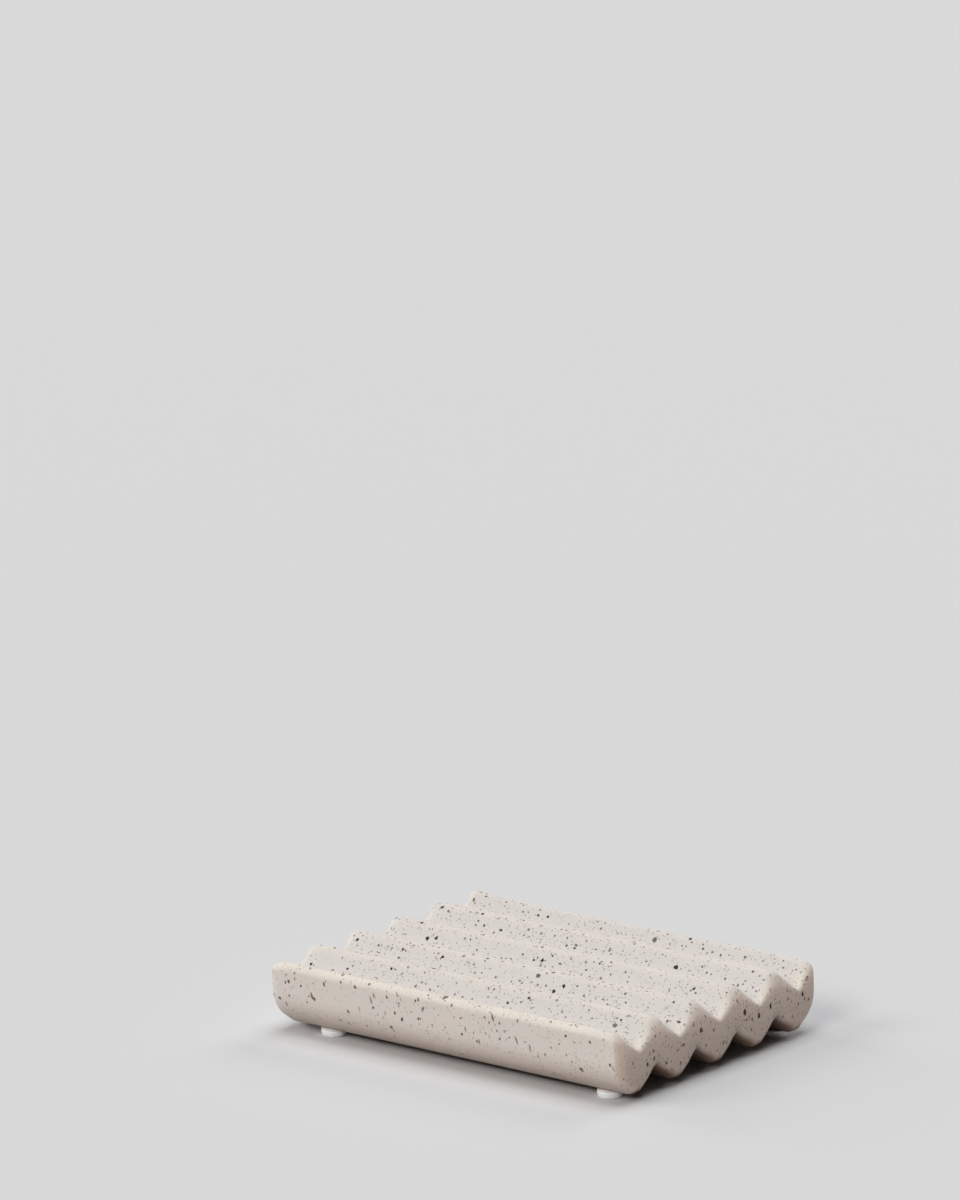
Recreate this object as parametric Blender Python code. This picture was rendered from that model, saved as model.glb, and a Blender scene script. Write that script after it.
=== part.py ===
"""Folded ceramic soap dish on four stick-on bumper feet. Metres, +Z up.

The dish is one thick plate folded into a zig-zag. Its crests run along X. It stands on Z = 0 and is
centred on X = 0, Y = 0, with the front wall at -Y. The first and the last crest are the rims of the
outer walls, a little lower than the crests between them. The section is a closed chain of arcs joined
by straight runs that are tangent to them. The body is a loft of that section along X, which is drawn
in at both ends so that every outer edge is rounded. In the hollows the edge is crisper than elsewhere.
"""

import math

import bmesh
import bpy

# Ceramic body
dish_length = 0.130
fold_count = 5
fold_pitch = 0.0200
body_height = 0.0212

# Section of the folded plate
groove_depth = 0.0076
crest_radius = 0.0042
valley_radius = 0.0011
underfold_height = 0.0056
underfold_radius = 0.0010
tip_radius = 0.0022
land_width = 0.0020
rim_radius = 0.0025
rim_drop = 0.0011
side_radius = 0.0104
side_slope = math.radians(34.5)
end_radius = 0.0036
crisp_end_radius = 0.0012
tightest_corner = 0.00015

# Bumper feet and the adhesive discs that hold them
foot_radius = 0.0040
foot_draft = 0.0002
foot_edge_radius = 0.0003
foot_height = 0.0014
adhesive_radius = 0.0037
adhesive_thickness = 0.0002
seat_gap = 0.0002

# How far each foot's centre lies from the end of the dish nearest to it
foot_insets = {
    "front_left": 0.0170,
    "front_right": 0.0107,
    "back_left": 0.0160,
    "back_right": 0.0080,
}

# Fineness of the curves
arc_step = math.radians(15)
end_steps = 6
crisp_end_steps = 3
disc_sides = 32
foot_edge_steps = 2
smooth_angle = math.radians(35)

# Places worked out from the sizes
half_length = dish_length / 2
half_width = fold_count * fold_pitch / 2
adhesive_bottom = foot_height + seat_gap
adhesive_top = adhesive_bottom + adhesive_thickness
body_bottom = adhesive_top + seat_gap
body_top = body_bottom + body_height

# Colours as linear red, green, blue
glaze_colour = (0.660, 0.610, 0.570)
silicone_colour = (0.840, 0.850, 0.860)
adhesive_colour = (0.700, 0.690, 0.650)


def fold_centre(fold):
    """Y of the bottom tip, and of the valley above it, of one fold counted from the front."""
    return (fold + 0.5) * fold_pitch - half_width


def side_arc_height(tip_y, tip_z):
    """Height of the outer wall's arc centre, so that its run to the last tip has the side slope."""
    outward = half_width - side_radius - abs(tip_y)
    rise = outward * math.sin(side_slope) + side_radius - tip_radius
    return tip_z + rise / math.cos(side_slope)


def section_arcs():
    """Arcs of the section in order, counter-clockwise with Y to the right.

    Each is the Y and Z of its centre and its radius, which is negative where the surface is hollow.
    """
    tip_z = body_bottom + tip_radius
    underfold_z = body_bottom + underfold_height - underfold_radius
    valley_z = body_top - groove_depth + valley_radius
    crest_z = body_top - crest_radius
    rim_z = body_top - rim_drop - rim_radius
    last_tip = fold_centre(fold_count - 1) + land_width / 2
    side_z = side_arc_height(last_tip, tip_z)

    arcs = []
    for fold in range(fold_count):
        for side in (-1, 1):
            arcs.append((fold_centre(fold) + side * land_width / 2, tip_z, tip_radius))
        if fold < fold_count - 1:
            arcs.append((fold_centre(fold) + fold_pitch / 2, underfold_z, -underfold_radius))
    arcs.append((half_width - side_radius, side_z, side_radius))
    arcs.append((half_width - rim_radius, rim_z, rim_radius))
    for fold in reversed(range(fold_count)):
        arcs.append((fold_centre(fold), valley_z, -valley_radius))
        if fold > 0:
            arcs.append((fold_centre(fold) - fold_pitch / 2, crest_z, crest_radius))
    arcs.append((rim_radius - half_width, rim_z, rim_radius))
    arcs.append((side_radius - half_width, side_z, side_radius))
    return arcs


def run_direction(arc, next_arc):
    """Angle of the straight run that leaves one arc and meets the next, tangent to both."""
    y, z, radius = arc
    next_y, next_z, next_radius = next_arc
    distance = math.hypot(next_y - y, next_z - z)
    towards = math.atan2(next_z - z, next_y - y)
    return towards + math.asin((radius - next_radius) / distance)


def arc_points(arc, entry, turn, inset):
    """Points of one arc, moved into the body by the inset."""
    y, z, radius = arc
    radius -= inset
    if turn > 0 and radius < tightest_corner:
        retreat = (tightest_corner - radius) / math.cos(turn / 2)
        middle = entry + turn / 2
        y -= retreat * math.sin(middle)
        z += retreat * math.cos(middle)
        radius = tightest_corner
    steps = max(1, math.ceil(abs(turn) / arc_step))
    points = []
    for step in range(steps + 1):
        heading = entry + turn * step / steps
        points.append((y + radius * math.sin(heading), z - radius * math.cos(heading)))
    return points


def section_points(depth):
    """The closed outline of the section at a depth from the end face, moved in by the rounded edge."""
    outer_inset = rounding(depth, end_radius)
    hollow_inset = rounding(depth, crisp_end_radius)
    arcs = section_arcs()
    count = len(arcs)
    headings = [run_direction(arcs[i], arcs[(i + 1) % count]) for i in range(count)]
    points = []
    for i, arc in enumerate(arcs):
        entry = headings[i - 1]
        turn = math.remainder(headings[i] - entry, math.tau)
        points += arc_points(arc, entry, turn, hollow_inset if arc[2] < 0 else outer_inset)
    return points


def rounding(depth, radius):
    """How far an edge rounded by the radius draws the surface in, at a depth from the end face."""
    return radius - math.sqrt(radius ** 2 - max(0.0, radius - depth) ** 2)


def end_depths():
    """Depth of each section of the loft from its end face, outermost first."""
    depths = set()
    for radius, steps in ((end_radius, end_steps), (crisp_end_radius, crisp_end_steps)):
        quarter = [math.pi / 2 * step / steps for step in range(steps + 1)]
        depths.update(radius * (1 - math.cos(angle)) for angle in quarter)
    return sorted(depths)


def finished_mesh(name, bm, material):
    """Turn a bmesh into a smooth-shaded mesh with its material."""
    mesh = bpy.data.meshes.new(name)
    bm.to_mesh(mesh)
    bm.free()
    mesh.materials.append(material)
    mesh.shade_smooth()
    mesh.set_sharp_from_angle(angle=smooth_angle)
    return mesh


def place(name, mesh, location, parent):
    """Place a mesh, which other objects may share, as a new object."""
    piece = bpy.data.objects.new(name, mesh)
    piece.location = location
    piece.parent = parent
    bpy.context.scene.collection.objects.link(piece)


def new_material(name, colour, roughness, coat):
    """A plain finish with the part's colour."""
    material = bpy.data.materials.new(name)
    material.use_nodes = True
    shader = material.node_tree.nodes["Principled BSDF"]
    shader.inputs["Base Color"].default_value = (*colour, 1)
    shader.inputs["Roughness"].default_value = roughness
    shader.inputs["Metallic"].default_value = 0
    shader.inputs["Coat Weight"].default_value = coat
    return material


def dish_bmesh():
    """The ceramic body: sections along X joined by faces, with a flat face at each end."""
    bm = bmesh.new()
    rings = []
    left_end = [(depth - half_length, depth) for depth in end_depths()]
    right_end = [(half_length - depth, depth) for depth in reversed(end_depths())]
    for x, depth in left_end + right_end:
        rings.append([bm.verts.new((x, y, z)) for y, z in section_points(depth)])
    for ring, next_ring in zip(rings, rings[1:]):
        for i in range(len(ring)):
            bm.faces.new((ring[i - 1], ring[i], next_ring[i], next_ring[i - 1]))
    bm.faces.new(rings[0])
    bm.faces.new(rings[-1])
    bmesh.ops.recalc_face_normals(bm, faces=bm.faces)
    return bm


def disc_bmesh(bottom_radius, top_radius, height):
    """A closed round disc that stands on its own origin."""
    bm = bmesh.new()
    bmesh.ops.create_cone(
        bm,
        cap_ends=True,
        segments=disc_sides,
        radius1=bottom_radius,
        radius2=top_radius,
        depth=height,
    )
    bmesh.ops.translate(bm, verts=bm.verts, vec=(0, 0, height / 2))
    return bm


def foot_bmesh():
    """A bumper foot: a low disc with a little draft and a rounded lower edge."""
    bm = disc_bmesh(foot_radius - foot_draft, foot_radius, foot_height)
    lower_rim = [edge for edge in bm.edges if all(vert.co.z < foot_height / 2 for vert in edge.verts)]
    bmesh.ops.bevel(
        bm,
        geom=lower_rim,
        offset=foot_edge_radius,
        offset_type="OFFSET",
        segments=foot_edge_steps,
        profile=0.5,
        affect="EDGES",
    )
    return bm


def adhesive_bmesh():
    """The thin round film between a foot and the ceramic."""
    return disc_bmesh(adhesive_radius, adhesive_radius, adhesive_thickness)


def foot_place(corner):
    """X and Y of the foot at a corner: under the outermost tip, at its inset from the end."""
    row, side = corner.split("_")
    reach = half_length - foot_insets[corner]
    outer_tip = fold_centre(fold_count - 1)
    x = -reach if side == "left" else reach
    y = -outer_tip if row == "front" else outer_tip
    return x, y


def clear_scene():
    """Start from an empty scene."""
    for old in list(bpy.data.objects):
        bpy.data.objects.remove(old, do_unlink=True)


def build():
    """Make every piece of the soap dish."""
    clear_scene()
    glaze = new_material("speckled_glaze", glaze_colour, roughness=0.5, coat=0.1)
    silicone = new_material("white_silicone", silicone_colour, roughness=0.4, coat=0)
    film = new_material("adhesive_film", adhesive_colour, roughness=0.6, coat=0)

    assembly = bpy.data.objects.new("soap_dish", None)
    bpy.context.scene.collection.objects.link(assembly)
    place("dish_body", finished_mesh("dish_body", dish_bmesh(), glaze), (0, 0, 0), assembly)

    foot = finished_mesh("bumper_foot", foot_bmesh(), silicone)
    adhesive = finished_mesh("adhesive_disc", adhesive_bmesh(), film)
    for corner in foot_insets:
        x, y = foot_place(corner)
        place("foot_" + corner, foot, (x, y, 0), assembly)
        place("foot_adhesive_" + corner, adhesive, (x, y, adhesive_bottom), assembly)


build()
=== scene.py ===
"""Looks of the folded ceramic soap dish: glaze, bumper feet, floor, light and camera.

Metres, +Z up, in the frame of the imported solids: the crests run along X and the front wall is at -Y.
"""

import math

import bpy
import numpy as np
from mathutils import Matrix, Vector
from mathutils.geometry import delaunay_2d_cdt


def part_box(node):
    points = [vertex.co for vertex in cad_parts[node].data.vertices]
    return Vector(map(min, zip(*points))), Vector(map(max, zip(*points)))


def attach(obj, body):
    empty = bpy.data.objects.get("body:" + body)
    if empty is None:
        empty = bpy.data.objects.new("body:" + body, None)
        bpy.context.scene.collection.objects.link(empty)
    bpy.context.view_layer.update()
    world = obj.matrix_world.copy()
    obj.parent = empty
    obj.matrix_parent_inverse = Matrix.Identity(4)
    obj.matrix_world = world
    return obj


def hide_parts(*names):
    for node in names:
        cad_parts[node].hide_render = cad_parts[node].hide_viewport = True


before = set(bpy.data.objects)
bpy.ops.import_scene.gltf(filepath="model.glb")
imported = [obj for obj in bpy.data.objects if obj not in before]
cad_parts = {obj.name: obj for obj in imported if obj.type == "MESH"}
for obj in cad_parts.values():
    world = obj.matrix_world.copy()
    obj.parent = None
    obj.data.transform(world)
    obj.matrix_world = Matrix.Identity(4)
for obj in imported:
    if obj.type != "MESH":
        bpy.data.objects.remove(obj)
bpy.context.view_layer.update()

# The dish's box, from its solid
dish_low, dish_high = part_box("dish_body")
half_length = (dish_high.x - dish_low.x) / 2
half_width = (dish_high.y - dish_low.y) / 2
body_bottom = dish_low.z
body_top = dish_high.z

# Section of the folded plate, as the solid has it
fold_count = 5
fold_pitch = 2 * half_width / fold_count
groove_depth = 0.0076
crest_radius = 0.0042
valley_radius = 0.0011
underfold_height = 0.0056
underfold_radius = 0.0010
tip_radius = 0.0022
land_width = 0.0020
rim_radius = 0.0025
rim_drop = 0.0011
side_radius = 0.0104
side_slope = math.radians(34.5)
tightest_corner = 0.00015

# How round the ends of the dish are, how crisp in places, and how far that reaches along the outline from
# the valleys, from the hollows under the folds, and from crests and rims
end_radius = 0.0036
crisp_end_radius = 0.0011
crisp_valley_reach = 0.0095
crisp_underfold_reach = 0.0080
crisp_underfold_share = 0.50
crisp_crest_reach = 0.0070

# How each end is finished: how crisp its upper edges are, how strong the cream of thinner glaze and
# painted highlight is on them, how far crests and rims sink towards it, and how far they and the hollows
# under the folds are set back
end_finish = {
    "left": {
        "crisp": 0.60,
        "thin": 0.35,
        "sink": {"crest": 0.0006, "front_rim": 0.0011, "back_rim": -0.0011},
        "set_back": {"back_rim": 0.0016, "underfold": 0.0017},
    },
    "right": {
        "crisp": 0.00,
        "thin": 1.00,
        "sink": {"crest": 0.0009, "front_rim": 0.0009, "back_rim": 0.0004},
        "set_back": {"crest": 0.0012, "front_rim": 0.0012, "back_rim": 0.0005, "underfold": 0.0013},
    },
}
sink_reaches = {"crest": 0.0100, "front_rim": 0.0100, "back_rim": 0.0280}
set_back_reach = 0.0100
set_back_spread = 0.0045

# No line of a hand-finished cast is quite straight
waver_height = 0.00012
waver_shift = 0.00016
waver_lengths = (0.083, 0.047, 0.029)

# Fineness of the dish's mesh
arc_step = math.radians(6)
run_step = 0.0008
station_step = 0.0012
end_steps = 10
depth_digits = 6
end_face_step = 0.0010
end_face_margin = 0.0007

# Filling of the end faces: in how many parts their grid is measured, the way of filling that keeps only
# what lies inside the outline, and how close two points may lie and still be two
grid_parts = 20
cdt_inside = 1
weld_distance = 1e-7

# Bumper feet, and the adhesive discs between them and the dish
foot_height = 0.00185
foot_top_radius = 0.0039
foot_bottom_radius = 0.0038
foot_edge_radius = 0.0004
adhesive_radius = 0.0038
adhesive_overlap = 0.0001
round_steps = 72
foot_edge_steps = 6

# How far the cream of thinner glaze and painted highlight reaches to either side of the crests, the rims
# and the middle of an end's rounding, and how strong it is on the crests between the rims, the rims being
# 1
thin_crest_reach = 0.0023
thin_rim_reach = 0.0018
thin_end_reach = 0.0020
thin_crest_share = 0.6
rounding_middle = end_radius / 3

# Up to what distance from the valleys the glaze is darker, and within what distance the darkening reaches
# its full depth
valley_darkening_reach = 0.0122
valley_darkening_rise = 0.0045

# How far the bare underside, darkened with painted shade, reaches out beyond the outermost folds, where it
# is painted shade under the walls, and how softly the glaze ends there
bare_and_shade_reach = 0.0022
bare_and_shade_edge = 0.0016

# Colours as linear red, green and blue
tones = {
    "glaze": (0.670, 0.638, 0.610),
    "warm_glaze": (0.690, 0.643, 0.598),
    "mottled_glaze": (0.625, 0.580, 0.550),
    # Glaze darker in and beside the valleys
    "darker_near_valleys": (0.626, 0.596, 0.571),
    "wall_glaze": (0.696, 0.628, 0.582),
    # Cream of thinner glaze, lightened as a painted highlight on crests, rims and end edges
    "thin_glaze": (0.785, 0.712, 0.620),
    # Painted shade on the end faces that face right: darker and browner towards the bottom
    "painted_shade_low_on_end": (0.560, 0.436, 0.370),
    "painted_shade_high_on_end": (0.770, 0.612, 0.528),
    # Painted highlight: a tan band on the vertical corners that face right
    "painted_corner_highlight": (0.660, 0.495, 0.395),
    # Painted shade: darker, browner glaze on faces turned down
    "painted_downward_shade": (0.560, 0.455, 0.400),
    # Bare clay, darkened further as painted shade
    "bare_clay_and_shade": (0.165, 0.098, 0.072),
    "streaks": (0.150, 0.083, 0.055),
    "dust": (0.220, 0.130, 0.097),
    "grains": (0.075, 0.030, 0.016),
    "flecks": (0.022, 0.007, 0.003),
    "silicone": (0.950, 0.970, 0.990),
    "milky_silicone": (0.970, 0.980, 1.000),
    "adhesive": (0.780, 0.770, 0.740),
    "airy_adhesive": (0.900, 0.890, 0.870),
    "board_grey": (0.652, 0.652, 0.657),
    "pale_grey": (0.672, 0.672, 0.677),
}

# How much of what is under it each layer of the glaze covers, and between which shares a layer that breaks
# up covers it
cover_shares = {
    "warm": 0.70,
    "mottled": 0.60,
    "near_valleys": 0.80,
    "wall": 0.70,
    "end": 0.85,
    "downward_shade": 0.80,
}
broken_cover_shares = {"thin": (0.45, 0.95), "corner": (0.35, 0.85)}

# How far the surface faces right, to the front or back, or up. Between its two values each kind of place
# begins, and the last two end
slants = {
    "outer_wall": (0.72, 0.97),
    # End faces that face right, where painted shade goes
    "end_face": (0.62, 0.97),
    # Vertical corners that face right, where a painted highlight goes
    "corner": (0.32, 0.48),
    # Faces turned down, where painted shade goes
    "downward_shade": (-0.75, -0.05),
    # The underside, bare clay with painted shade
    "bare_and_shaded_underside": (-0.75, -0.15),
}

# Noises in the finishes, all about the same middle: the size of their features and their levels of detail
noise_middle = 0.5
noises = {
    "orange_peel": {"size": 0.0009, "detail": 2},
    "unevenness": {"size": 0.0070, "detail": 1},
    "milkiness": {"size": 0.0020, "detail": 2},
    "silicone_skin": {"size": 0.0015, "detail": 2},
    "board_grain": {"size": 0.0012, "detail": 3},
}

# Clouds in the finishes: noises that rise from 0 at their low value to 1 at their high one. The breaks in
# thin glaze are longer along X, where their place is scaled down
clouds = {
    "warmth": {"size": 0.0160, "detail": 4, "low": 0.35, "high": 0.65},
    "mottle": {"size": 0.0016, "detail": 3, "low": 0.30, "high": 0.70},
    "breaks": {"size": 0.0040, "detail": 3, "low": 0.25, "high": 0.70},
    "dusting": {"size": 0.0200, "detail": 3, "low": 0.36, "high": 0.58},
    "trapped_air": {"size": 0.0008, "detail": 3, "low": 0.45, "high": 0.70},
}
breaks_scale = (0.35, 1, 1)

# Iron in the glaze: the cell that holds a speck, the speck's largest radius, the share of cells with one,
# and how softly it ends
speck_kinds = {
    "dust": {"cell": 0.00085, "radius": 0.00027, "share": 0.85, "edge": 0.00005},
    "grains": {"cell": 0.00150, "radius": 0.00041, "share": 0.65, "edge": 0.00004},
    "flecks": {"cell": 0.00320, "radius": 0.00072, "share": 0.50, "edge": 0.00005},
    "streaks": {"cell": 0.00220, "radius": 0.00042, "share": 0.45, "edge": 0.00008},
}

# The smallest specks beside the largest, and within what step of chance a cell has one or none
smallest_speck_share = 0.45
chance_step = 0.001

# How specks and streaks lose their roundness: over what size and how far their outline wanders, how far
# they are drawn out along X, Y and Z, and how they lean
speck_shape = {"wander_size": 0.0008, "wander": 0.0008, "lengths": (1.1, 1.0, 1.6)}
streak_shape = {"wander_size": 0.0020, "wander": 0.0010, "lengths": (1.0, 1.5, 3.2)}
speck_turn = (0, math.radians(-17), 0)

# How strongly specks show, the others being 1: the palest of each kind, specks in the cream of thinner
# glaze and painted highlight and low down, dust on the outer walls and where it is sparse, and streaks in
# that cream
palest_shares = {"dust": 0.4, "grains": 0.6, "streaks": 0.4}
thin_speck_share = 0.75
low_speck_share = 0.40
wall_dust_share = 0.60
sparse_dust_share = 0.45
thin_streak_share = 0.60

# Between which random tones grains begin to stay on the outer walls, and flecks where there are few
kept_grains = (0.35, 0.65)
kept_flecks = (0.60, 0.70)

# Sheen and relief. Specks and warm clouds are drier than the rest of the glaze. A pair of values is the
# least and the greatest roughness
glaze_roughness = 0.50
speck_dryness = 0.16
warm_dryness = 0.06
glaze_specular = 0.35
glaze_relief = 0.00022
peel_share = 0.25
sunken_speck_share = 0.20
silicone_roughness = (0.28, 0.36)
silicone_relief = 0.00004
silicone_coat = 1.0
adhesive_roughness = (0.45, 0.65)
floor_roughness = 0.9

# Camera: its place, its turns in radians, and its lens and sensor in millimetres
camera_place = Vector((1.1221, -1.4898, 0.5525))
camera_yaw = 0.6557
camera_pitch = 0.2217
camera_lens = 195
camera_sensor = 36

# Half the side of the floor
floor_half_size = 9.0

# Soft lamps far away. At level 1 a lamp lights what faces it so that its colour renders as it is written.
# The angles are degrees: azimuth 0 is in front of the dish, and 90 on its left
cool = (0.981, 1.000, 1.025)
neutral = (1.000, 1.000, 1.000)
warm = (1.030, 1.000, 0.960)
lamps = {
    "overhead_dome": {"colour": cool, "level": 0.492, "spread": 50, "azimuth": 0, "elevation": 90},
    "front_softbox": {"colour": warm, "level": 0.319, "spread": 22, "azimuth": -10, "elevation": 31},
    "front_left_softbox": {"colour": warm, "level": 0.260, "spread": 24, "azimuth": 40, "elevation": 33},
    "left_softbox": {"colour": neutral, "level": 0.200, "spread": 30, "azimuth": 90, "elevation": 22},
    "back_softbox": {"colour": neutral, "level": 0.210, "spread": 30, "azimuth": 180, "elevation": 36},
}


# Nodes of the finishes

class Layer:
    """A value or colour that varies over a surface. Plain arithmetic on it adds Math nodes."""

    def __init__(self, nodes, socket):
        self.nodes = nodes
        self.socket = socket

    def output(self, name):
        """Another output of the node that this layer comes from."""
        return Layer(self.nodes, self.socket.node.outputs[name])

    def math(self, operation, *values):
        return self.nodes.add("ShaderNodeMath", {"operation": operation}, dict(enumerate(values)))

    def __add__(self, other):
        return self.math("ADD", self, other)

    def __sub__(self, other):
        return self.math("SUBTRACT", self, other)

    def __rsub__(self, other):
        return self.math("SUBTRACT", other, self)

    def __mul__(self, other):
        return self.math("MULTIPLY", self, other)

    __radd__ = __add__
    __rmul__ = __mul__

    def most(self, other):
        return self.math("MAXIMUM", self, other)

    def unsigned(self):
        return self.math("ABSOLUTE", self)

    def between(self, low, high):
        """The low value where this layer is 0 and the high one where it is 1."""
        return low + (high - low) * self

    def ramp(self, low, high):
        """0 up to the low value, 1 from the high one, and a smooth rise between them."""
        settings = {"interpolation_type": "SMOOTHSTEP"}
        sockets = {"Value": self, "From Min": low, "From Max": high}
        return self.nodes.add("ShaderNodeMapRange", settings, sockets)


class Nodes:
    """A node tree that is written one call for each node."""

    def __init__(self, tree):
        self.tree = tree

    def add(self, kind, settings=None, sockets=None, output=0):
        """Add a node: its settings, then the values or links of its sockets. Returns one output."""
        node = self.tree.nodes.new(kind)
        for name, value in (settings or {}).items():
            setattr(node, name, value)
        self.fill(node, sockets or {})
        return Layer(self, node.outputs[output])

    def fill(self, node, sockets):
        """Set the sockets of a node to values, or link them to layers."""
        for name, value in sockets.items():
            if isinstance(value, Layer):
                self.tree.links.new(value.socket, node.inputs[name])
            else:
                node.inputs[name].default_value = value


class Finish(Nodes):
    """A material, with the patterns that its looks are mixed from."""

    def __init__(self, name):
        self.material = bpy.data.materials.new(name)
        self.material.use_nodes = True
        super().__init__(self.material.node_tree)
        self.place = self.add("ShaderNodeTexCoord", output="Object")

    def colour_mix(self, amount, under, over):
        """One colour laid over another by an amount. The Mix node has its colour sockets by number."""
        settings = {"data_type": "RGBA", "blend_type": "MIX"}
        return self.add("ShaderNodeMix", settings, {0: amount, 6: under, 7: over}, output=2)

    def noise(self, place, size, detail=2, output=0):
        """Cloudy values about the noises' middle, with features of about the size."""
        sockets = {"Vector": place, "Scale": 1 / size, "Detail": detail}
        return self.add("ShaderNodeTexNoise", None, sockets, output)

    def cloud(self, place, size, detail, low, high):
        """A noise that is 0 up to its low value and 1 from its high one."""
        return self.noise(place, size, detail).ramp(low, high)

    def stretched(self, place, scale):
        """The place scaled along X, Y and Z, so that patterns on it come out longer or shorter."""
        return self.add("ShaderNodeVectorMath", {"operation": "MULTIPLY"}, {0: place, 1: scale})

    def shifted(self, place, shift):
        """The place moved by a shift."""
        return self.add("ShaderNodeVectorMath", {"operation": "ADD"}, {0: place, 1: shift})

    def roughened(self, place, size, amount):
        """The place moved to and fro by up to the amount, so that spots on it lose their roundness."""
        wander = self.shifted(self.noise(place, size, output="Color"), (-noise_middle,) * 3)
        return self.shifted(place, self.stretched(wander, (amount,) * 3))

    def drawn_out(self, place, wander_size, wander, lengths):
        """The place for specks that aren't quite round, are drawn out along X, Y and Z, and lean."""
        rough_place = self.roughened(place, wander_size, wander)
        sockets = {"Vector": rough_place, "Scale": lengths, "Rotation": speck_turn}
        return self.add("ShaderNodeMapping", {"vector_type": "TEXTURE"}, sockets)

    def spots(self, place, cell, radius, share, edge):
        """Scattered spots, at most one to a cell: how deep in a spot each place is, and a random tone.

        They are random in size up to the radius, the share is that of the cells with a spot, and the
        edge is how far a spot fades out.
        """
        scatter = self.add("ShaderNodeTexVoronoi", None, {"Vector": place, "Scale": 1 / cell})
        chance = self.add("ShaderNodeSeparateColor", None, {"Color": scatter.output("Color")})
        outline = (radius / cell) * chance.between(smallest_speck_share, 1)
        distance = scatter.output("Distance")
        present = chance.output("Green").ramp(1 - share, 1 + chance_step - share)
        inside = 1 - distance.ramp(outline - edge / cell, outline + edge / cell)
        return inside * present, chance.output("Blue")

    def done(self, sockets, height=None, relief=0):
        """Set the surface's sockets, and the relief, in metres, of a height from 0 to 1."""
        surface = self.tree.nodes["Principled BSDF"]
        self.fill(surface, sockets)
        if height is not None:
            bump = self.add("ShaderNodeBump", None, {"Distance": relief, "Height": height})
            self.fill(surface, {"Normal": bump})
        return self.material


def opaque(tone):
    """One of the tones as a colour without transparency."""
    return (*tones[tone], 1.0)


# The section as a chain of arcs

def fold_centre(fold):
    """Y of one fold's bottom tip, and of the valley above it, counted from the front."""
    return (fold + 0.5) * fold_pitch - half_width


def side_arc_height(tip_y, tip_z):
    """Height of the outer wall's arc centre, so that its run to the last tip has the side slope."""
    outward = half_width - side_radius - abs(tip_y)
    rise = outward * math.sin(side_slope) + side_radius - tip_radius
    return tip_z + rise / math.cos(side_slope)


def section_arcs():
    """Arcs of the section, counter-clockwise with Y to the right.

    Each is its kind, the Y and Z of its centre and its radius, negative where the surface is hollow.
    """
    tip_z = body_bottom + tip_radius
    underfold_z = body_bottom + underfold_height - underfold_radius
    valley_z = body_top - groove_depth + valley_radius
    crest_z = body_top - crest_radius
    rim_z = body_top - rim_drop - rim_radius
    last_tip = fold_centre(fold_count - 1) + land_width / 2
    side_z = side_arc_height(last_tip, tip_z)

    arcs = []
    for fold in range(fold_count):
        for side in (-1, 1):
            arcs.append(("tip", fold_centre(fold) + side * land_width / 2, tip_z, tip_radius))
        if fold < fold_count - 1:
            arcs.append(("underfold", fold_centre(fold) + fold_pitch / 2, underfold_z, -underfold_radius))
    arcs.append(("side", half_width - side_radius, side_z, side_radius))
    arcs.append(("back_rim", half_width - rim_radius, rim_z, rim_radius))
    for fold in reversed(range(fold_count)):
        arcs.append(("valley", fold_centre(fold), valley_z, -valley_radius))
        if fold > 0:
            arcs.append(("crest", fold_centre(fold) - fold_pitch / 2, crest_z, crest_radius))
    arcs.append(("front_rim", rim_radius - half_width, rim_z, rim_radius))
    arcs.append(("side", side_radius - half_width, side_z, side_radius))
    return arcs


def run_direction(arc, next_arc):
    """Angle of the straight run that leaves one arc and meets the next, tangent to both."""
    y, z, radius = arc
    next_y, next_z, next_radius = next_arc
    distance = math.hypot(next_y - y, next_z - z)
    towards = math.atan2(next_z - z, next_y - y)
    return towards + math.asin((radius - next_radius) / distance)


def run_directions(arcs):
    """The direction of the run that leaves each arc."""
    return [run_direction(arc, arcs[(i + 1) % len(arcs)]) for i, arc in enumerate(arcs)]


def turn_between(entry, heading):
    """The shorter turn from one direction to another."""
    return math.remainder(heading - entry, math.tau)


def waver(x, phase):
    """How far an uneven line has strayed at X, from 0 to 1."""
    waves = [math.sin(math.tau * x / length + phase * (i + 1)) for i, length in enumerate(waver_lengths)]
    return 0.5 + sum(waves) / (2 * len(waves))


def finish_at(x):
    """How the end nearest to X is finished."""
    return end_finish["right" if x > 0 else "left"]


def nearness(x, reach):
    """0 away from both ends of the dish, rising to 1 at an end face."""
    return max(0.0, 1 - (half_length - abs(x)) / reach)


def wavering_arcs(x):
    """The section's arcs at X, with crests and rims sunk near the ends and no line quite straight."""
    sink = finish_at(x)["sink"]
    arcs = []
    for i, (kind, y, z, radius) in enumerate(section_arcs()):
        if kind in sink:
            z -= sink[kind] * nearness(x, sink_reaches[kind]) ** 2
        if kind in ("crest", "front_rim", "valley"):
            z -= waver_height * waver(x, phase=i)
        if kind in ("crest", "valley"):
            y += waver_shift * (waver(x, phase=-i) - 0.5)
        arcs.append((y, z, radius))
    return arcs


def inset_arc(arc, entry, turn, inset):
    """An arc moved into the body by the inset. A sharp corner keeps the tightest radius."""
    y, z, radius = arc
    radius -= inset
    if turn > 0 and radius < tightest_corner:
        retreat = (tightest_corner - radius) / math.cos(turn / 2)
        middle = entry + turn / 2
        y -= retreat * math.sin(middle)
        z += retreat * math.cos(middle)
        radius = tightest_corner
    return y, z, radius


def section_counts():
    """Into how many pieces each arc, and the straight run after it, is divided."""
    arcs = wavering_arcs(0)
    headings = run_directions(arcs)
    counts = []
    for i, arc in enumerate(arcs):
        turn = turn_between(headings[i - 1], headings[i])
        next_arc = arcs[(i + 1) % len(arcs)]
        gap = math.hypot(next_arc[0] - arc[0], next_arc[1] - arc[1])
        counts.append((2 * math.ceil(abs(turn) / arc_step / 2), max(1, round(gap / run_step))))
    return counts


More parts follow.
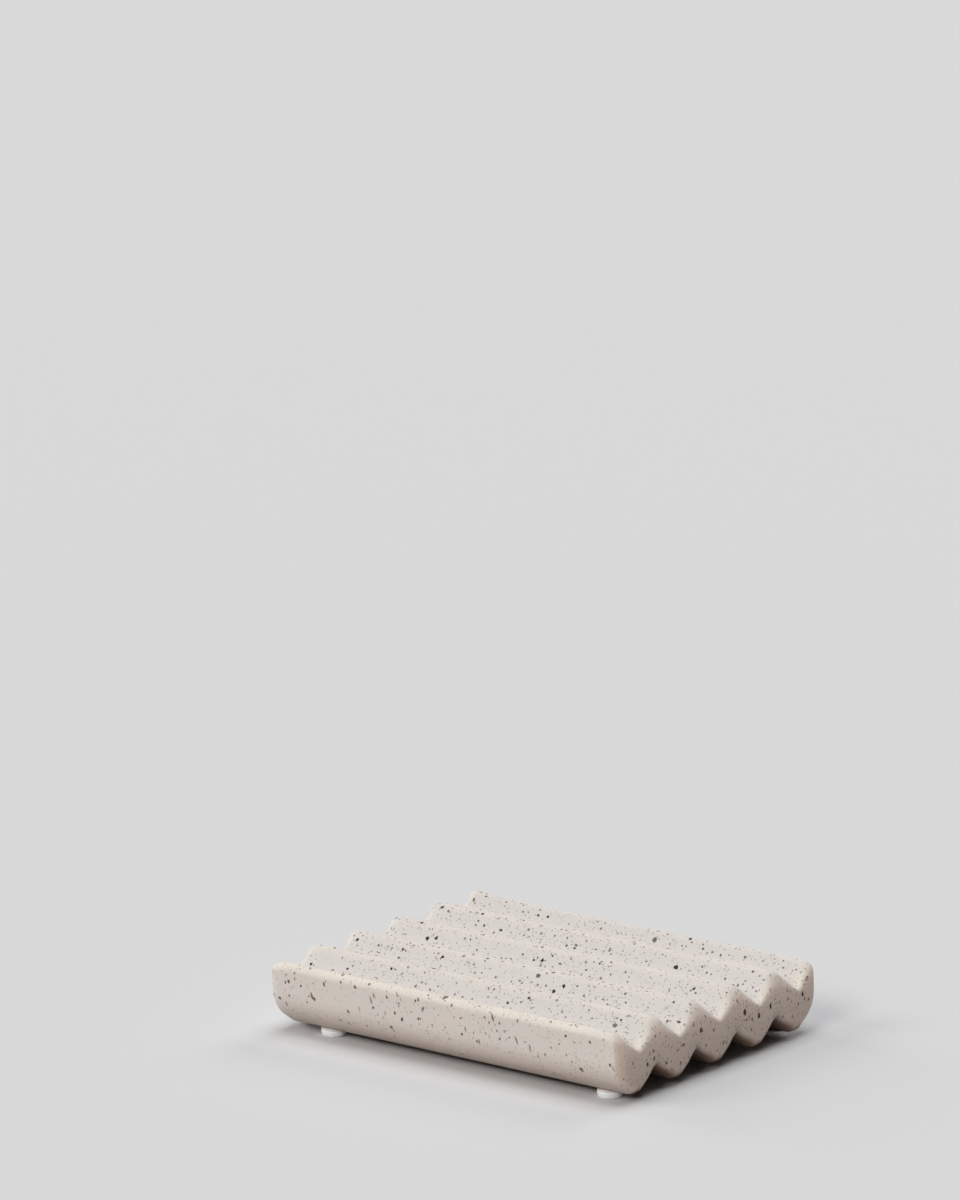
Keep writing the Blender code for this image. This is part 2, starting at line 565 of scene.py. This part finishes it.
def section_ring(x, inset, counts):
    """The closed outline at X, moved into the body by the inset, as an array, and its headings."""
    arcs = wavering_arcs(x)
    headings = run_directions(arcs)
    sweeps = []
    for i, arc in enumerate(arcs):
        turn = turn_between(headings[i - 1], headings[i])
        y, z, radius = inset_arc(arc, headings[i - 1], turn, inset)
        angles = np.linspace(headings[i - 1], headings[i - 1] + turn, counts[i][0] + 1)
        points = np.stack([y + radius * np.sin(angles), z - radius * np.cos(angles)], axis=1)
        sweeps.append((points, angles))
    points = []
    angles = []
    for i, (sweep, sweep_angles) in enumerate(sweeps):
        next_sweep = sweeps[(i + 1) % len(sweeps)][0]
        share = np.arange(1, counts[i][1])[:, None] / counts[i][1]
        points += [sweep, sweep[-1] + (next_sweep[0] - sweep[-1]) * share]
        angles += [sweep_angles, np.full(len(share), sweep_angles[-1])]
    return np.concatenate(points), np.concatenate(angles)


# What changes along the outline

def distance_along(counts, *kinds):
    """How far each point of the outline lies, along it, from the middle of the nearest of such arcs."""
    ring = section_ring(0, 0, counts)[0]
    steps = np.linalg.norm(np.diff(ring, axis=0), axis=1)
    along = np.concatenate([[0], np.cumsum(steps)])
    nearest = np.full(len(ring), half_length)
    place = 0
    for arc, (arc_pieces, run_pieces) in zip(section_arcs(), counts):
        if arc[0] in kinds:
            nearest = np.minimum(nearest, np.abs(along - along[place + arc_pieces // 2]))
        place += arc_pieces + run_pieces
    return nearest


def bell(distance, reach):
    """1 at no distance, and soon after the reach nearly nothing."""
    return np.exp(-(distance / reach) ** 2)


def crispness(counts):
    """How crisp the ends are along the outline: in the hollows, and on crests and rims."""
    in_valleys = np.clip(1 - distance_along(counts, "valley") / crisp_valley_reach, 0, 1)
    under_folds = crisp_underfold_share * (1 - distance_along(counts, "underfold") / crisp_underfold_reach)
    on_crests = bell(distance_along(counts, "crest", "front_rim", "back_rim"), crisp_crest_reach)
    return np.maximum(in_valleys, under_folds), on_crests


def thinness(counts):
    """How strong the cream of thinner glaze and painted highlight is along the outline, on crests and
    rims.
    """
    on_crests = thin_crest_share * bell(distance_along(counts, "crest"), thin_crest_reach)
    return on_crests + bell(distance_along(counts, "front_rim", "back_rim"), thin_rim_reach)


def thin_end(x, from_middle):
    """The cream of thinner glaze and painted highlight at a distance from the middle of the nearest end's
    rounding.
    """
    return finish_at(x)["thin"] * bell(from_middle, thin_end_reach)


def closeness_to_valleys(counts):
    """How far the glaze is darkened along the outline, in and beside the valleys."""
    return np.clip((valley_darkening_reach - distance_along(counts, "valley")) / valley_darkening_rise, 0, 1)


def bareness_and_shade(counts):
    """Bare clay darkened with painted shade: the underside, out to just beyond the two outermost tips."""
    ring, angles = section_ring(0, 0, counts)
    outermost = fold_centre(fold_count - 1) + bare_and_shade_reach
    inside = (outermost - np.abs(ring[:, 0])) / bare_and_shade_edge + 0.5
    return np.clip(inside, 0, 1) * (np.cos(angles) > 0)


# The ends of the dish

def rounding(depth, radius):
    """How far a rounded end draws the surface in, at a depth from the end face."""
    return radius - math.sqrt(radius ** 2 - max(0.0, radius - depth) ** 2)


def end_depths():
    """Depths from the end face of the sections that its rounding needs, from the deepest to 0."""
    depths = set()
    for radius in (end_radius, crisp_end_radius):
        for step in range(end_steps + 1):
            depths.add(round(radius * (1 - math.cos(math.pi / 2 * step / end_steps)), depth_digits))
    return sorted(depths, reverse=True)


def dish_stations():
    """X of every section, from the left end face to the right one."""
    right = [half_length - depth for depth in end_depths()]
    reach = right[0]
    count = round(2 * reach / station_step)
    middle = [-reach + 2 * reach * step / count for step in range(1, count)]
    return [-x for x in reversed(right)] + middle + right


def set_back(x, points):
    """How far the end stands back at points of Y and Z: most at the tops of its set-back arcs."""
    depth = np.zeros(len(points))
    for kind, y, z, radius in section_arcs():
        gap = np.linalg.norm(points - (y, z + abs(radius)), axis=1)
        depth += finish_at(x)["set_back"].get(kind, 0) * bell(gap, set_back_spread)
    return depth * nearness(x, set_back_reach) ** 2


def lie_inside(points, ring):
    """Which points lie inside a closed outline: those with an odd number of its edges to one side."""
    crossings = np.zeros(len(points), dtype=int)
    for start, end in zip(ring, np.roll(ring, -1, axis=0)):
        rise = end[1] - start[1]
        if rise != 0:
            level = (start[1] > points[:, 1]) != (end[1] > points[:, 1])
            at = start[0] + (points[:, 1] - start[1]) / rise * (end[0] - start[0])
            crossings += level & (points[:, 0] < at)
    return crossings % 2 == 1


def end_face(ring):
    """Points inside an end's outline, their distances from it, and the triangles that join them to it."""
    low = ring.min(axis=0)
    high = ring.max(axis=0)
    columns = np.arange(low[0], high[0], end_face_step)
    rows = np.arange(low[1], high[1], end_face_step)
    ys, zs = np.meshgrid(columns, rows)
    ys = ys + (np.arange(len(ys)) % 2)[:, None] * end_face_step / 2
    grid = np.stack([ys.ravel(), zs.ravel()], axis=1)
    parts = np.array_split(grid, grid_parts)
    nearest = [np.linalg.norm(part[:, None] - ring[None], axis=2).min(axis=1) for part in parts]
    gaps = np.concatenate(nearest)
    kept = lie_inside(grid, ring) & (gaps > end_face_margin)
    together = [Vector(point) for point in np.concatenate([ring, grid[kept]]).tolist()]
    outline = [tuple(range(len(ring)))]
    triangles = delaunay_2d_cdt(together, [], outline, cdt_inside, weld_distance)[2]
    return grid[kept], gaps[kept], triangles


# Meshes

def mesh_object(name, points, faces, material):
    """A smooth-shaded mesh with its material, as a new object."""
    mesh = bpy.data.meshes.new(name)
    mesh.from_pydata(points, [], faces)
    mesh.materials.append(material)
    mesh.shade_smooth()
    mesh.validate()
    piece = bpy.data.objects.new(name, mesh)
    bpy.context.scene.collection.objects.link(piece)
    return piece


def ring_faces(ring_count, size):
    """Faces that join rings of points, each to the next."""
    faces = []
    for i in range(ring_count - 1):
        for j in range(size):
            k = (j + 1) % size
            faces.append((i * size + j, i * size + k, (i + 1) * size + k, (i + 1) * size + j))
    return faces


def dish_points(x, ring):
    """The points of one section in space, set back near the ends."""
    xs = x - np.sign(x) * set_back(x, ring)
    return np.column_stack([xs, ring])


def dish_rings(stations, counts):
    """The outline at every station as Y and Z, drawn in where the ends are rounded."""
    crisp_hollows, crisp_crests = crispness(counts)
    rings = []
    for x in stations:
        depth = half_length - abs(x)
        inset = rounding(depth, end_radius)
        ring, angles = section_ring(x, inset, counts)
        crisp = np.maximum(crisp_hollows, finish_at(x)["crisp"] * crisp_crests)
        regained = crisp * (inset - rounding(depth, crisp_end_radius))
        outward = np.stack([np.sin(angles), -np.cos(angles)], axis=1)
        rings.append(ring + outward * regained[:, None])
    return rings


def dish_mesh(material):
    """The glazed body: sections along X, rounded at both ends, and marks for its finish, painted light and
    shade among them.
    """
    counts = section_counts()
    stations = dish_stations()
    rings = dish_rings(stations, counts)
    size = len(rings[0])
    thin_along = thinness(counts)
    points = [dish_points(x, ring) for x, ring in zip(stations, rings)]
    thin_ends = [thin_end(x, half_length - abs(x) - rounding_middle) for x in stations]
    marks = {
        # Cream of thinner glaze, with a painted highlight
        "thin_glaze": [1 - (1 - thin_along) * (1 - thin) for thin in thin_ends],
        # Bare clay with painted shade
        "bare_clay_and_shade": [bareness_and_shade(counts)] * len(stations),
        # Darker in and beside the valleys
        "darker_near_valleys": [closeness_to_valleys(counts)] * len(stations),
    }
    faces = ring_faces(len(rings), size)
    for end in (0, len(rings) - 1):
        x = stations[end]
        inner, gaps, triangles = end_face(rings[end])
        start = sum(len(part) for part in points)
        numbers = np.concatenate([end * size + np.arange(size), start + np.arange(len(inner))])
        for triangle in triangles:
            corners = [int(numbers[corner]) for corner in triangle]
            faces.append(corners if x > 0 else corners[::-1])
        points.append(dish_points(x, inner))
        marks["thin_glaze"].append(thin_end(x, gaps + rounding_middle))
        marks["bare_clay_and_shade"].append(np.zeros(len(inner)))
        marks["darker_near_valleys"].append(np.zeros(len(inner)))
    piece = mesh_object("glazed_dish", np.concatenate(points).tolist(), faces, material)
    for name, parts in marks.items():
        mark = piece.data.attributes.new(name, "FLOAT", "POINT")
        mark.data.foreach_set("value", np.concatenate(parts))
    return piece


def turned(name, outline, centre, material):
    """A round piece: an outline of radius and Z, from the underside to the top, turned about Z."""
    points = []
    for radius, z in outline:
        for step in range(round_steps):
            angle = math.tau * step / round_steps
            points.append((centre.x + radius * math.cos(angle), centre.y + radius * math.sin(angle), z))
    faces = ring_faces(len(outline), round_steps)
    faces.append(tuple(range(round_steps - 1, -1, -1)))
    last = (len(outline) - 1) * round_steps
    faces.append(tuple(range(last, last + round_steps)))
    return mesh_object(name, points, faces, material)


def foot_outline():
    """Radius and Z of a low bumper with a little draft, both of its edges rounded."""
    quarter = [math.pi / 2 * step / foot_edge_steps for step in range(foot_edge_steps + 1)]
    outline = []
    for angle in reversed(quarter):
        inward = foot_edge_radius * (1 - math.cos(angle))
        outline.append((foot_bottom_radius - inward, foot_edge_radius * (1 - math.sin(angle))))
    for angle in quarter:
        inward = foot_edge_radius * (1 - math.cos(angle))
        outline.append((foot_top_radius - inward, foot_height - foot_edge_radius * (1 - math.sin(angle))))
    return outline


# Finishes

class Glaze(Finish):
    """Speckled satin glaze: darker near the valleys, thinner and cream over the crests, with a painted
    highlight.
    """

    def __init__(self):
        """Find where on the dish each of the glaze's looks belongs."""
        super().__init__("speckled_glaze")
        normal = self.add("ShaderNodeNewGeometry", output="Normal")
        facing = self.add("ShaderNodeSeparateXYZ", None, {"Vector": normal})
        right = facing.output("X")
        across = facing.output("Y").unsigned()
        up = facing.output("Z")
        where = self.add("ShaderNodeSeparateXYZ", None, {"Vector": self.place})
        self.risen = where.output("Z").ramp(body_bottom, body_top)
        self.right_half = where.output("X").ramp(0, half_length / 2)
        self.outer_wall = across.ramp(*slants["outer_wall"])
        # End faces that face right, where painted shade goes
        self.end_face = right.ramp(*slants["end_face"])
        # Vertical corners that face right, where a painted highlight goes
        self.corner = (right.most(0) * across).ramp(*slants["corner"])
        # Faces turned down, where painted shade goes
        self.downward_shade = 1 - up.ramp(*slants["downward_shade"])
        # Bare clay on the underside, darkened as painted shade
        self.bare_and_shaded_underside = self.mark("bare_clay_and_shade") * (1 - up.ramp(*slants["bare_and_shaded_underside"]))
        self.thin = self.mark("thin_glaze")
        self.near_valleys = self.mark("darker_near_valleys")
        self.warmth = self.cloud(self.place, **clouds["warmth"])
        self.colour = opaque("glaze")

    def mark(self, name):
        """A mark that the dish's mesh carries."""
        return self.add("ShaderNodeAttribute", {"attribute_name": name}, output="Fac")

    def lay(self, amount, over):
        """Lay a colour over the glaze so far, by an amount."""
        self.colour = self.colour_mix(amount, self.colour, over)

    def coat(self):
        """The glaze without its specks, with its painted light and shade, down to the bare clay on the
        underside.
        """
        mottle = self.cloud(self.place, **clouds["mottle"])
        breaks = self.cloud(self.stretched(self.place, breaks_scale), **clouds["breaks"])
        # Painted shade on the right end faces, darker towards the bottom
        painted_end_shade = self.colour_mix(self.risen, opaque("painted_shade_low_on_end"), opaque("painted_shade_high_on_end"))
        self.lay(self.warmth * cover_shares["warm"], opaque("warm_glaze"))
        self.lay(mottle * cover_shares["mottled"], opaque("mottled_glaze"))
        # Darker in and beside the valleys
        self.lay(self.near_valleys * cover_shares["near_valleys"], opaque("darker_near_valleys"))
        self.lay(self.outer_wall * cover_shares["wall"], opaque("wall_glaze"))
        # Cream of thinner glaze on crests, rims and end edges, with a painted highlight
        self.lay(self.thin * breaks.between(*broken_cover_shares["thin"]), opaque("thin_glaze"))
        self.lay(self.end_face * cover_shares["end"], painted_end_shade)
        # Painted tan highlight on the corners that face right
        self.lay(self.corner * breaks.between(*broken_cover_shares["corner"]), opaque("painted_corner_highlight"))
        # Painted shade on faces turned down
        self.lay(self.downward_shade * cover_shares["downward_shade"], opaque("painted_downward_shade"))
        # Bare clay with painted shade
        self.lay(self.bare_and_shaded_underside, opaque("bare_clay_and_shade"))

    def sprinkle(self):
        """Iron specks in three sizes, and streaks on the outer walls and in the cream of thinner glaze and
        painted highlight.
        """
        speck_place = self.drawn_out(self.place, **speck_shape)
        streak_place = self.drawn_out(self.place, **streak_shape)
        dust, dust_tone = self.spots(speck_place, **speck_kinds["dust"])
        grains, grain_tone = self.spots(speck_place, **speck_kinds["grains"])
        flecks, fleck_tone = self.spots(speck_place, **speck_kinds["flecks"])
        streaks, streak_tone = self.spots(streak_place, **speck_kinds["streaks"])
        dusting = self.cloud(self.place, **clouds["dusting"])
        few_flecks = self.outer_wall.most(self.right_half * (1 - self.end_face))
        grains = grains * (1 - self.outer_wall * (1 - grain_tone.ramp(*kept_grains)))
        flecks = flecks * (1 - few_flecks * (1 - fleck_tone.ramp(*kept_flecks)))
        self.specks = flecks.most(grains)

        strength = self.thin.between(1, thin_speck_share) * self.downward_shade.between(1, low_speck_share)
        streaked = (self.thin * thin_streak_share).most(self.outer_wall) * streaks
        dusted = dust * strength * dusting.between(sparse_dust_share, 1)
        dusted = dusted * self.outer_wall.between(1, wall_dust_share)
        self.lay(streaked * streak_tone.between(palest_shares["streaks"], 1), opaque("streaks"))
        self.lay(dusted * dust_tone.between(palest_shares["dust"], 1), opaque("dust"))
        self.lay(grains * strength * grain_tone.between(palest_shares["grains"], 1), opaque("grains"))
        self.lay(flecks * strength, opaque("flecks"))

    def fire(self):
        """A fine orange peel over soft unevenness, with the specks a little dry and sunken."""
        peel = self.noise(self.place, **noises["orange_peel"])
        uneven = self.noise(self.place, **noises["unevenness"])
        height = peel_share * peel + uneven - sunken_speck_share * self.specks
        roughness = glaze_roughness + speck_dryness * self.specks + warm_dryness * self.warmth
        sockets = {"Base Color": self.colour, "Roughness": roughness, "Specular IOR Level": glaze_specular}
        return self.done(sockets, height, glaze_relief)


def glaze():
    """The dish's own finish."""
    finish = Glaze()
    finish.coat()
    finish.sprinkle()
    return finish.fire()


def silicone():
    """Milky white silicone with a glossy skin."""
    finish = Finish("white_silicone")
    milkiness = finish.noise(finish.place, **noises["milkiness"])
    skin = finish.noise(finish.place, **noises["silicone_skin"])
    sockets = {
        "Base Color": finish.colour_mix(milkiness, opaque("silicone"), opaque("milky_silicone")),
        "Roughness": milkiness.between(*silicone_roughness),
        "Coat Weight": silicone_coat,
    }
    return finish.done(sockets, skin, silicone_relief)


def adhesive():
    """The clear to milky film between a foot and the glaze."""
    finish = Finish("adhesive_film")
    trapped_air = finish.cloud(finish.place, **clouds["trapped_air"])
    sockets = {
        "Base Color": finish.colour_mix(trapped_air, opaque("adhesive"), opaque("airy_adhesive")),
        "Roughness": trapped_air.between(*adhesive_roughness),
    }
    return finish.done(sockets)


def board():
    """A pale, very matt studio board."""
    finish = Finish("studio_floor")
    grain = finish.noise(finish.place, **noises["board_grain"])
    colour = finish.colour_mix(grain, opaque("board_grey"), opaque("pale_grey"))
    return finish.done({"Base Color": colour, "Roughness": floor_roughness})


# The scene

def carried(piece, node):
    """Let a piece stand in for a solid of the part."""
    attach(piece, "root")
    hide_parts(node)


def feet():
    """The four feet and the adhesive disc on top of each."""
    rubber = silicone()
    film = adhesive()
    for corner in ("front_left", "front_right", "back_left", "back_right"):
        low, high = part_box("foot_" + corner)
        centre = (low + high) / 2
        foot = turned("bumper_foot_" + corner, foot_outline(), centre, rubber)
        carried(foot, "foot_" + corner)
        top = body_bottom + adhesive_overlap
        disc_outline = [(adhesive_radius, foot_height), (adhesive_radius, top)]
        disc = turned("adhesive_disc_" + corner, disc_outline, centre, film)
        carried(disc, "foot_adhesive_" + corner)


def floor():
    """The board that the dish stands on."""
    reach = floor_half_size
    corners = [(-reach, -reach, 0), (reach, -reach, 0), (reach, reach, 0), (-reach, reach, 0)]
    mesh_object("studio_floor", corners, [(0, 1, 2, 3)], board())


def add_lamp(name, colour, level, spread, azimuth, elevation):
    """A soft lamp far away, in the terms of the table of lamps."""
    lamp = bpy.data.lights.new(name, "SUN")
    lamp.color = colour
    lamp.energy = level * math.pi
    lamp.angle = math.radians(spread)
    piece = bpy.data.objects.new(name, lamp)
    turn = math.radians(azimuth)
    rise = math.radians(elevation)
    across = math.cos(rise)
    place = Vector((-math.sin(turn) * across, -math.cos(turn) * across, math.sin(rise)))
    piece.rotation_euler = place.to_track_quat("Z", "Y").to_euler()
    bpy.context.scene.collection.objects.link(piece)


def light():
    """The lamps, and a pale backdrop that is seen and mirrored but sheds no light of its own."""
    for name, settings in lamps.items():
        add_lamp(name, **settings)
    world = bpy.data.worlds.new("studio")
    bpy.context.scene.world = world
    world.use_nodes = True
    studio = Nodes(world.node_tree)
    ray = studio.add("ShaderNodeLightPath", output="Is Camera Ray")
    seen = ray.most(ray.output("Is Glossy Ray")).most(ray.output("Is Transmission Ray"))
    unlit = studio.add("ShaderNodeBackground", None, {"Strength": 0.0})
    backdrop = studio.add("ShaderNodeBackground", None, {"Color": opaque("pale_grey")})
    mixed = studio.add("ShaderNodeMixShader", None, {0: seen, 1: unlit, 2: backdrop})
    studio.fill(world.node_tree.nodes["World Output"], {"Surface": mixed})


def camera():
    """The camera, at the photo's angle."""
    data = bpy.data.cameras.new("camera")
    data.lens = camera_lens
    data.sensor_width = camera_sensor
    eye = bpy.data.objects.new("camera", data)
    eye.location = camera_place
    eye.rotation_euler = (math.pi / 2 - camera_pitch, 0, camera_yaw)
    bpy.context.scene.collection.objects.link(eye)
    bpy.context.scene.camera = eye


bpy.context.scene.view_settings.view_transform = "Standard"
carried(dish_mesh(glaze()), "dish_body")
feet()
floor()
light()
camera()
